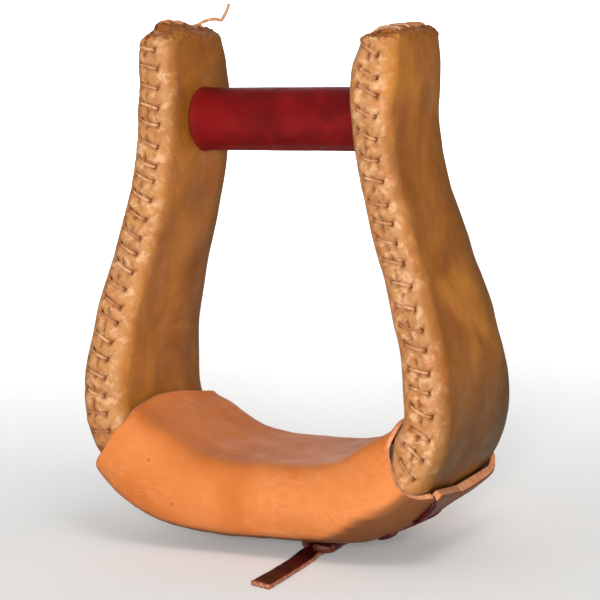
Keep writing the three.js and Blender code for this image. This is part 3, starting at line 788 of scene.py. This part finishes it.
def side_cover(side, hand):
    """The side leather, modelled finely where it shows and roughly under the tread cover."""
    places = cover_places()
    hidden = np.linspace(0.6, 52, 18)
    distances = np.concatenate([hidden, np.arange(52.75, CAP_FROM, 0.75), [CAP_FROM]])
    tube = on_section(hand * distances[:, None], places[None, :], COVER_OUT)
    grid = np.concatenate([tube, cap_rows(hand, tube[-1])])
    cap_count = len(grid) - len(tube)
    cap_steps = np.linalg.norm(np.diff(grid[len(tube) - 1 :], axis=0), axis=-1).max(axis=1)
    s = np.concatenate([distances, CAP_FROM + np.cumsum(cap_steps)])[:, None] + 0 * grid[..., 0]
    u = from_seam(tube) * -hand + seam_shift(hand, s[: len(tube)])
    u = np.concatenate([u, np.repeat(u[-1:], cap_count, axis=0)])
    normal = tube_normals(grid)
    middle = grid.mean(axis=1, keepdims=True)
    normal *= np.sign(np.median(((grid - middle) * normal).sum(-1)))
    relief, painted_shade = cover_relief(hand, grid, u, s)
    fade = np.ones(len(grid))
    fade[-3:] = (0.6, 0.25, 0.0)
    outer = grid + normal * (relief * fade[:, None])[..., None]
    # Painted shade in the sunk middle of the closed top.
    painted_shade[-2:] = 0.9
    ragged = 1.2 * lumps(grid, 12, 35 + hand)
    off_seam = np.abs(u - seam_shift(hand, s) + ragged + (0 if hand < 0 else 1.6))
    front = (1 - 0.6 * smooth((off_seam - 5.6) / 3.6) - 0.4 * smooth((off_seam - 7) / 9)) * np.ones_like(s)
    reach = np.abs(grid[..., 1]).max(axis=1, keepdims=True)
    # Painted shade: the outer face's lower part, where it turns downward, is darkened along with the back
    # edges.
    foot = smooth((115 - s) / 45) * (1 - front) * smooth((grid[..., 0] * hand - 62) / 10)
    back = np.clip(smooth((grid[..., 1] / reach - 0.25) / 0.75) + 1.3 * foot, 0, 1.5)
    # The inner face, coarser, follows the wood; the two are joined round the open lower end.
    inside = on_section(hand * distances[::4, None], places[None, :], COVER_IN)
    rows, columns = outer.shape[:2]
    points = np.concatenate([outer.reshape(-1, 3), inside[::-1].reshape(-1, 3)])
    faces = grid_faces(rows, columns, closed=True)
    faces.append(tuple((rows - 1) * columns + j for j in range(columns)))
    start = rows * columns
    faces += grid_faces(len(inside), columns, start, closed=True)
    faces.append(tuple(start + j for j in reversed(range(columns))))
    faces += bridge_faces(start + (len(inside) - 1) * columns, columns)
    if hand > 0:
        faces = [face[::-1] for face in faces]
    unseen = np.zeros(len(inside) * columns)
    tints = {"painted_shade": painted_shade, "front": front, "back": back}
    values = {name: np.concatenate([tint.ravel(), unseen]) for name, tint in tints.items()}
    piece = make_object(f"{side}_cover_leather", points, faces, SIDE_LEATHER, values)
    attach(piece, "stirrup")
    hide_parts(f"{side}_side_cover")


# ---- lacing
def front_points(hand, u, s, lift):
    """Points over the front strip."""
    places = np.linspace(-0.12, 0.12, 161)
    centre = len(places) // 2
    result = []
    for one_u, one_s, one_lift in zip(u, s, lift):
        row = on_section(hand * one_s, places, COVER_OUT + one_lift + edge_shift(hand, one_u, one_s))
        at = np.concatenate([[0], np.cumsum(np.linalg.norm(np.diff(row, axis=0), axis=1))])
        at = (at - at[centre]) * -hand + seam_shift(hand, one_s)
        order = np.argsort(at)
        result.append([np.interp(one_u, at[order], row[order, i]) for i in range(3)])
    return np.array(result)


def lace_strand(route, up, wide, thick=1.15):
    """One visible stitch: a flattened strand that narrows where it goes into its holes."""
    ends = 0.75
    t = np.linspace(0, 1, len(route))
    scale = ends + (1 - ends) * np.sin(np.clip(t, 0.02, 0.98) * math.pi) ** 0.4
    return swept_body(swept(route, oval_section(wide, thick, 10), up, scale))


def front_lacing(side, hand):
    """The stitches across the seam; on the right arm the lace lies deeper and shows between some of them."""
    random = np.random.default_rng(107 + hand)
    sunk = 0.0 if hand < 0 else -0.2
    strands = [(right, left, sunk, random.uniform(0.85, 1.2)) for right, left in stitches(hand)]
    if hand > 0:
        pairs = zip(strands[1:], strands)
        strands += [(above[0], below[1], -0.35, 0.8) for below, above in pairs if random.uniform() < 0.25]
    bodies = []
    t = np.linspace(0, 1, 13)
    for (from_u, from_s), (to_u, to_s), height, wide in strands:
        u = from_u + (to_u - from_u) * t + random.normal(0, 0.2) * np.sin(math.pi * t)
        s = from_s + (to_s - from_s) * t + random.normal(0, 0.3) * np.sin(math.pi * t)
        s = np.minimum(s, CAP_FROM + 3.5)
        lift = height + 0.25 * np.sin(math.pi * t) - 1.8 * dive(t, 0.07)
        route = front_points(hand, u, s, lift)
        up = unit(route - front_points(hand, u, s, lift - 1.0))
        bodies.append(lace_strand(route, up, wide, 0.8))
    piece = make_object(f"{side}_front_stitches", *joined(bodies), LACE)
    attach(piece, "stirrup")
    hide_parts(f"{side}_front_lacing")


def cap_point(hand, y, across, lift):
    """A point over the closed top: across is -1 at the outer shoulder, 1 at the inner one."""
    centre, along, out = bow_at(hand * CAP_FROM)
    angle = across * math.pi / 2
    half = section_at(hand * CAP_FROM)[0] / 2 + COVER_OUT
    power = CAP_POWER[hand]
    rise = (crest_height(hand, y) + lift) * np.cos(angle) ** power
    n = -(half + lift) * np.sign(angle) * np.abs(np.sin(angle)) ** power
    points = centre + (along * hand) * rise[..., None] + out * n[..., None]
    points[..., 1] = y
    return points


def frayed_end():
    """The lace's loose end at the back of the left arm's top, with four fibres at its tip."""
    route = smooth_route([
        (-45.5, 13.5, 199.6),
        (-43.0, 16.5, 201.0),
        (-40.2, 18.6, 201.4),
        (-38.4, 19.6, 200.9),
        (-37.2, 20.0, 202.6),
        (-35.9, 20.2, 205.0),
        (-35.0, 20.2, 207.0),
    ], 40)
    taper = np.concatenate([np.linspace(0.7, 1, 6), np.ones(26), np.linspace(1, 0.8, 8)])
    bodies = [swept_body(swept(route, oval_section(1.35, 1.15, 10), (0, -1, 0.1), taper))]
    for spread in (-0.9, -0.3, 0.35, 0.9):
        reach = np.array([0.5 + spread, spread * 0.6, 1.9 - abs(spread)])
        fibre = np.linspace(0, 1, 8)[:, None] * reach + route[-3]
        thinning = np.linspace(1, 0.45, 8)
        bodies.append(swept_body(swept(fibre, oval_section(0.42, 0.42, 6), (0, -1, 0), thinning)))
    return bodies


def top_lacing(side, hand):
    """Stitches over the crest, and on the left arm the lace's frayed end."""
    random = np.random.default_rng(17 + hand)
    bodies = []
    t = np.linspace(0, 1, 11)
    for y in np.arange(-12.5, 15.5, 3.7):
        slant = y + random.normal(0, 0.35) + 2.2 * t
        across = (2 * t - 1) * random.uniform(0.3, 0.4)
        lift = 0.15 + 0.2 * np.sin(math.pi * t) - 1.5 * dive(t, 0.08)
        route = cap_point(hand, slant, across, lift)
        bodies.append(lace_strand(route, UP, 1.3 * random.uniform(0.85, 1.15)))
    if hand < 0:
        bodies += frayed_end()
    piece = make_object(f"{side}_top_stitches", *joined(bodies), LACE)
    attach(piece, "stirrup")
    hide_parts(f"{side}_top_lacing")


# ---- tread cover and pad
# How far the cover reaches along the bow, round the section: place, at the left arm, at the right arm.
REACHES = np.array([
    (0, 71, 61.5), (0.03, 72.7, 63.4), (0.06, 77.5, 69.7), (0.083, 81, 79), (0.1, 83, 84.5), (0.21, 86, 87),
    (0.3, 84, 84.5), (0.42, 77, 77), (0.5, 70, 70), (0.58, 65, 64.5), (0.75, 61, 62.5), (0.86, 64, 65.5),
    (0.9, 66, 66.5), (0.925, 67, 65), (0.95, 68.5, 62.3), (1, 71, 61.5),
])
NOTCH = 0.905  # where the right front flap is nicked, under its front edge
FLAP_GAP, END_GAP = 0.022, 0.003  # from the flaps' edges to their meeting line: in the middle, at the ends
HALF_LENGTH, HALF_GIRTH = 75, 89  # the cover's, roughly, for spacing
PAD_HALF, PAD_PLACES = 70, (0.105, 0.395)  # the felt, along the bow and round it
HOLE_Y, HOLE_STEP, FIRST_REACH = 13, 14, 49  # the thong's holes lie in two rows, y either way


def pad_at(distance):
    """How far the felt under it lifts the tread cover's foot side."""
    at = np.abs(distance)
    rise, fall = smooth((at - 14) / 36), 1 - smooth((at - 54) / 34)
    return (2.4 + 3.8 * rise) * fall


def reach_at(place, hand):
    """How far the cover reaches along the bow, its corners eased."""
    column = 1 if hand < 0 else 2
    shifts = np.linspace(-0.012, 0.012, 5)
    near = [np.interp((place + shift) % 1.0, REACHES[:, 0], REACHES[:, column]) for shift in shifts]
    nick = 6.5 * bell(place % 1.0 - NOTCH, 0.0045) if hand > 0 else 0
    return sum(near) / len(near) - nick


def rim_steps(count, length):
    """Shares from -1 to 1 with extra lines near both ends, for a softened rim."""
    close = np.array([0, 0.25, 0.7, 1.4]) / length
    middle = np.linspace(-1 + 3 / length, 1 - 3 / length, count)
    return np.concatenate([-1 + close, middle, 1 - close[::-1]])


def closed_sheet(outer, inner):
    """A thick sheet from its two faces' grids, and for each point whether it is cut edge, and inner face."""
    rows, columns = outer.shape[:2]
    size = rows * columns
    faces = grid_faces(rows, columns) + grid_faces(rows, columns, size, flip=True)
    loop = [(0, j) for j in range(columns)] + [(i, columns - 1) for i in range(1, rows)]
    loop += [(rows - 1, j) for j in range(columns - 2, -1, -1)] + [(i, 0) for i in range(rows - 2, 0, -1)]
    on_outer = np.array([i * columns + j for i, j in loop])
    rim_out, rim_in = (grid.reshape(-1, 3)[on_outer] for grid in (outer, inner))
    rings, start = [on_outer], 2 * size
    points = [outer.reshape(-1, 3), inner.reshape(-1, 3)]
    for share in (0.1, 0.3, 0.5, 0.7, 0.9):
        points.append(rim_out + (rim_in - rim_out) * share)
        rings.append(np.arange(start, start + len(loop)))
        start += len(loop)
    rings.append(on_outer + size)
    for a, b in zip(rings, rings[1:]):
        for j in range(len(loop)):
            k = (j + 1) % len(loop)
            faces.append((a[k], a[j], b[j], b[k]))
    faces = [tuple(int(i) for i in face) for face in faces]
    edge = np.concatenate([np.zeros(2 * size), np.ones(start - 2 * size)])
    edge[on_outer + size] = 1
    inside = np.concatenate([np.zeros(size), np.ones(size), np.zeros(start - 2 * size)])
    return np.concatenate(points), faces, edge, inside


def tread_holes():
    """The thong's holes: distance along the bow and place front to back, as they alternate."""
    count = int(2 * FIRST_REACH / HOLE_STEP) + 1
    return [(-FIRST_REACH + k * HOLE_STEP, HOLE_Y if k % 2 else -HOLE_Y) for k in range(count)]


def tread_cover():
    """The thick leather round the tread; share runs from its left end to its right one, turn round it."""
    share = rim_steps(120, HALF_LENGTH)[:, None]
    turn = rim_steps(96, 88)
    notch_turn = (NOTCH - 1 - 0.25) / (0.5 - END_GAP)
    turn = np.sort(np.concatenate([turn, notch_turn + np.linspace(-0.024, 0.024, 17)]))[None, :]
    gap = FLAP_GAP + (END_GAP - FLAP_GAP) * smooth((np.abs(share) - 0.62) / 0.25)
    place = 0.25 + turn * (0.5 - gap)
    distance = share * np.where(share < 0, reach_at(place, -1), reach_at(place, 1))
    pad = pad_at(distance)
    to_end = (1 - np.abs(share)) * HALF_LENGTH
    to_rim = np.minimum(to_end, (1 - np.abs(turn)) * HALF_GIRTH)
    soften = 0.5 * np.clip(1 - to_rim / 0.7, 0, 1) ** 2
    base = on_section(distance, place, TREAD_OUT, pad)
    swell = 0.32 * lumps(base, 34, 41) + 0.12 * lumps(base, 9, 42)
    front = bell((place + 0.5) % 1 - 0.5, 0.07) * bell(distance, 55)
    swell = swell + 0.8 * front
    # The foot side is skived thin at its ends and lies close; the flaps stay thick and stand off a little.
    flap = smooth((np.abs(place - 0.25) - 0.27) / 0.12)
    thin = smooth(1 - to_end / 12) * (1 - flap)
    lift = 0.8 * smooth(1 - to_rim / 9) * flap
    dip = 0
    for at, y in tread_holes():
        centre, _, out = bow_at(at)
        spot = centre + out * (section_at(np.array(float(at)))[0] / 2 + TREAD_OUT)
        spot[1] = y
        dip = dip + bell(np.linalg.norm(base - spot, axis=-1), 3.0)
    outer = on_section(distance, place, TREAD_OUT - soften + swell + lift - 1.2 * dip - 1.2 * thin, pad)
    inner = on_section(distance, place, TREAD_IN + 0.6 * soften + lift * 0.8 + 0.4 * thin, pad)
    points, faces, edge, dark = closed_sheet(outer, inner)
    # Painted shade: the underside, up to where it turns to the front, is darkened like the leather's inside.
    around = place % 1.0
    turned = 0.925 + 0.033 * smooth((distance - 22) / 22)
    below = smooth((around - 0.56) / 0.03) * (1 - smooth((around - turned) / 0.014))
    dark[: below.size] = below.ravel()
    values = {"edge": 0.7 * edge, "under": dark}
    piece = make_object("tread_leather_wrap", points, faces, TREAD_LEATHER, values)
    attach(piece, "stirrup")
    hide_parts("tread_cover")


def tread_pad():
    distance = np.linspace(-PAD_HALF, PAD_HALF, 60)[:, None]
    place = np.linspace(*PAD_PLACES, 30)[None, :]
    thick = np.maximum(pad_at(distance) - 0.6, 0)
    to_side = (PAD_PLACES[1] - 0.25 - np.abs(place - 0.25)) * 200
    edge = np.clip(np.minimum(PAD_HALF - np.abs(distance), to_side) / 3, 0, 1) ** 0.5
    under = on_section(distance, place, TREAD_IN)
    over = on_section(distance, place, TREAD_IN + 0.3, thick * edge)
    over = over + 0.08 * lumps(over, 4, 51)[..., None]
    points, faces, _, _ = closed_sheet(under, over)
    piece = make_object("felt_pad", points, [face[::-1] for face in faces], FELT)
    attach(piece, "stirrup")
    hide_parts("tread_pad")


# ---- the thong under the tread
PASS_WIDE, PASS_THICK = 7.6, 1.6  # the thong is stretched thin where it laces the flaps together


def strap_piece(name, routes, node, wide=THONG_WIDE, thick=THONG_THICK, raw=0.2):
    """Straps along routes, each (points, ups), as one piece; raw is how pale their cut edges are."""
    section, edge = strap_section(wide, thick)
    bodies, edges = [], []
    for points, ups in routes:
        rings = swept(points, section, ups)
        rings = rings + 0.08 * lumps(rings, 7, 61)[..., None]
        bodies.append(swept_body(rings))
        one = np.tile(edge, (len(rings), 1))
        one[0] = one[-1] = 1
        edges.append(one.ravel() * raw)
    piece = make_object(name, *joined(bodies), LATIGO, {"edge": np.concatenate(edges)})
    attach(piece, "stirrup")
    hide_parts(node)


def thong_under_bow():
    routes = []
    holes = tread_holes()
    t = np.linspace(0, 1, 17)
    for (from_at, from_y), (to_at, to_y) in zip(holes, holes[1:]):
        distance = from_at + (to_at - from_at) * t
        centre, _, out = bow_at(distance)
        away = section_at(distance)[0] / 2 + TREAD_OUT + PASS_THICK / 2 + 0.25 - 2.8 * dive(t, 0.05)
        points = centre + out * away[:, None]
        points[:, 1] = from_y + (to_y - from_y) * t
        routes.append((points, out))
    strap_piece("latigo_first_pass", routes, "thong_under_bow", PASS_WIDE, PASS_THICK)


def thong_return():
    corners = [(-42, HOLE_Y), (-28, -HOLE_Y), (-14, HOLE_Y), (0, -HOLE_Y)]
    routes = []
    t = np.linspace(0, 1, 17)
    for (x1, y1), (x2, y2) in zip(corners, corners[1:]):
        x = x1 + (x2 - x1) * t
        height = STAND - 1.5 * PASS_THICK - 0.3 + 0.0008 * x**2 + 2.8 * dive(t, 0.05)
        routes.append((np.stack([x, y1 + (y2 - y1) * t, height], -1), UP))
    strap_piece("latigo_return_pass", routes, "thong_return", PASS_WIDE, PASS_THICK)


def thong_tie():
    """From the last hole at the back to the knot, under the tread."""
    route = smooth_route([
        (KNOT[0] + 0.6, HOLE_Y + 4.5, 5.2),
        (KNOT[0] + 0.6, HOLE_Y + 2, 2.2),
        (KNOT[0] + 0.8, 4, 1.4),
        (KNOT[0] + 0.3, -8, 1.4),
        (KNOT[0] - 0.2, -16, 1.9),
    ], 40)
    strap_piece("latigo_tie", [(route, UP)], "thong_tie")


def thong_end():
    """Two short stretches outside the front flap near the right arm, one out of the nick."""
    routes = []
    for first, last, height in ((43.0, 49.5, 0.2), (55.0, 64.5, 0.9)):
        t = np.linspace(0, 1, 15)
        distance = first + (last - first) * t
        lift = TREAD_OUT + height - 3.2 * dive(t, 0.07) + 0.3 * np.sin(math.pi * t)
        place = NOTCH + 0.004 * np.sin(5 * t + first)
        points = on_section(distance, place, lift)
        routes.append((points, unit(points - on_section(distance, place, lift - 1))))
    # No pale cut edges here: painted shade, as these stretches lie in the flap's shadow.
    strap_piece("latigo_end", routes, "thong_end", 4.0, 1.6, 0)


def thong_knot():
    """An overhand knot pulled flat: one turn of the strap round the others, and its short cut end."""
    angle = np.linspace(0.35, 2 * math.pi + 0.9, 56)
    radius_x, radius_z = 6.3, 1.95
    wrap = np.stack([
        KNOT[0] + radius_x * np.cos(angle),
        KNOT[1] + 0.6 + 1.9 * np.sin(angle * 0.5),
        3.0 + radius_z * np.sin(angle),
    ], -1)
    wrap_up = np.stack([np.cos(angle) / radius_x, 0 * angle, np.sin(angle) / radius_z], -1)
    short = smooth_route([
        (KNOT[0] + 2.5, KNOT[1] + 2.5, 4.4),
        (KNOT[0] + 3.4, KNOT[1] - 2.5, 4.2),
        (KNOT[0] + 4.3, KNOT[1] - 7.5, 3.3),
    ], 16)
    routes = [(wrap, unit(wrap_up)), (short, np.array([0.15, 0, 1.0]))]
    strap_piece("latigo_knot", routes, "thong_knot", 6.6)


# ---- roller
def roller_sleeve():
    """A leather tube with a lapped seam underneath, flared and rounded off at its ends, with a painted
    highlight near them.
    """
    sides = 112
    angle = np.arange(sides) / sides * 2 * math.pi
    close = np.array([0, 0.25, 0.7, 1.4, 2.4, 3.6])
    middle = np.linspace(-ROLLER_HALF + 5, ROLLER_HALF - 5, 60)
    x = np.concatenate([close - ROLLER_HALF, middle, ROLLER_HALF - close[::-1]])
    to_end = ROLLER_HALF - np.abs(x)
    radius = ROLLER_R + 0.4 * bell(to_end - 0.9, 1.9) - 0.55 * np.exp(-to_end / 0.22)
    radial = np.stack([0 * angle, np.cos(angle), np.sin(angle)], -1)[None]
    along = x[:, None, None] * np.array([1.0, 0, 0])
    grid = along + radial * radius[:, None, None]
    seam_angle = -1.9
    off = (angle - seam_angle + math.pi) % (2 * math.pi) - math.pi
    ridge = 0.35 * smooth((off + 0.09) / 0.06) * (1 - smooth((off - 0.05) / 0.5))
    swell = 0.06 * lumps(grid, 22, 71) + 0.02 * lumps(grid, 6, 72) + ridge[None]
    outer = grid + radial * swell[..., None]
    inner = along[::-6] + radial * (ROLLER_R - 2.15)
    rows = np.concatenate([outer, inner]) + ROLLER_Z * UP
    count = len(rows)
    faces = grid_faces(count, sides, closed=True) + bridge_faces((count - 1) * sides, sides)
    edge = np.zeros((count, sides))
    edge[len(outer) :] = 1
    edge[0] = edge[len(outer) - 1] = 0.7
    # Painted highlight near both ends.
    end_highlight = np.zeros((count, sides))
    end_highlight[: len(outer)] = bell(to_end - 0.8, 1.6)[:, None]
    values = {"edge": edge, "end_highlight": end_highlight}
    piece = make_object("burgundy_sleeve", rows.reshape(-1, 3), faces, ROLLER_LEATHER, values)
    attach(piece, "roller")
    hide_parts("roller_sleeve")


# ---- the whole
SIDE_LEATHER = side_leather()
TREAD_LEATHER = tread_leather()
LACE = lace_leather()
FELT = wool_felt()
ROLLER_LEATHER = roller_leather()

for arm in (("left", -1), ("right", 1)):
    side_cover(*arm)
    front_lacing(*arm)
    top_lacing(*arm)
tread_cover()
tread_pad()
thong_under_bow()
thong_return()
thong_tie()
thong_end()
thong_knot()
roller_sleeve()

kept_materials = {
    hardwood(): ("wood_bow", "roller_core"),
    plain_steel(): ("neck_bolt", "neck_nut", "bolt_washer_left", "bolt_washer_right"),
}
for material, names in kept_materials.items():
    for node in names:
        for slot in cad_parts[node].material_slots:
            slot.material = material
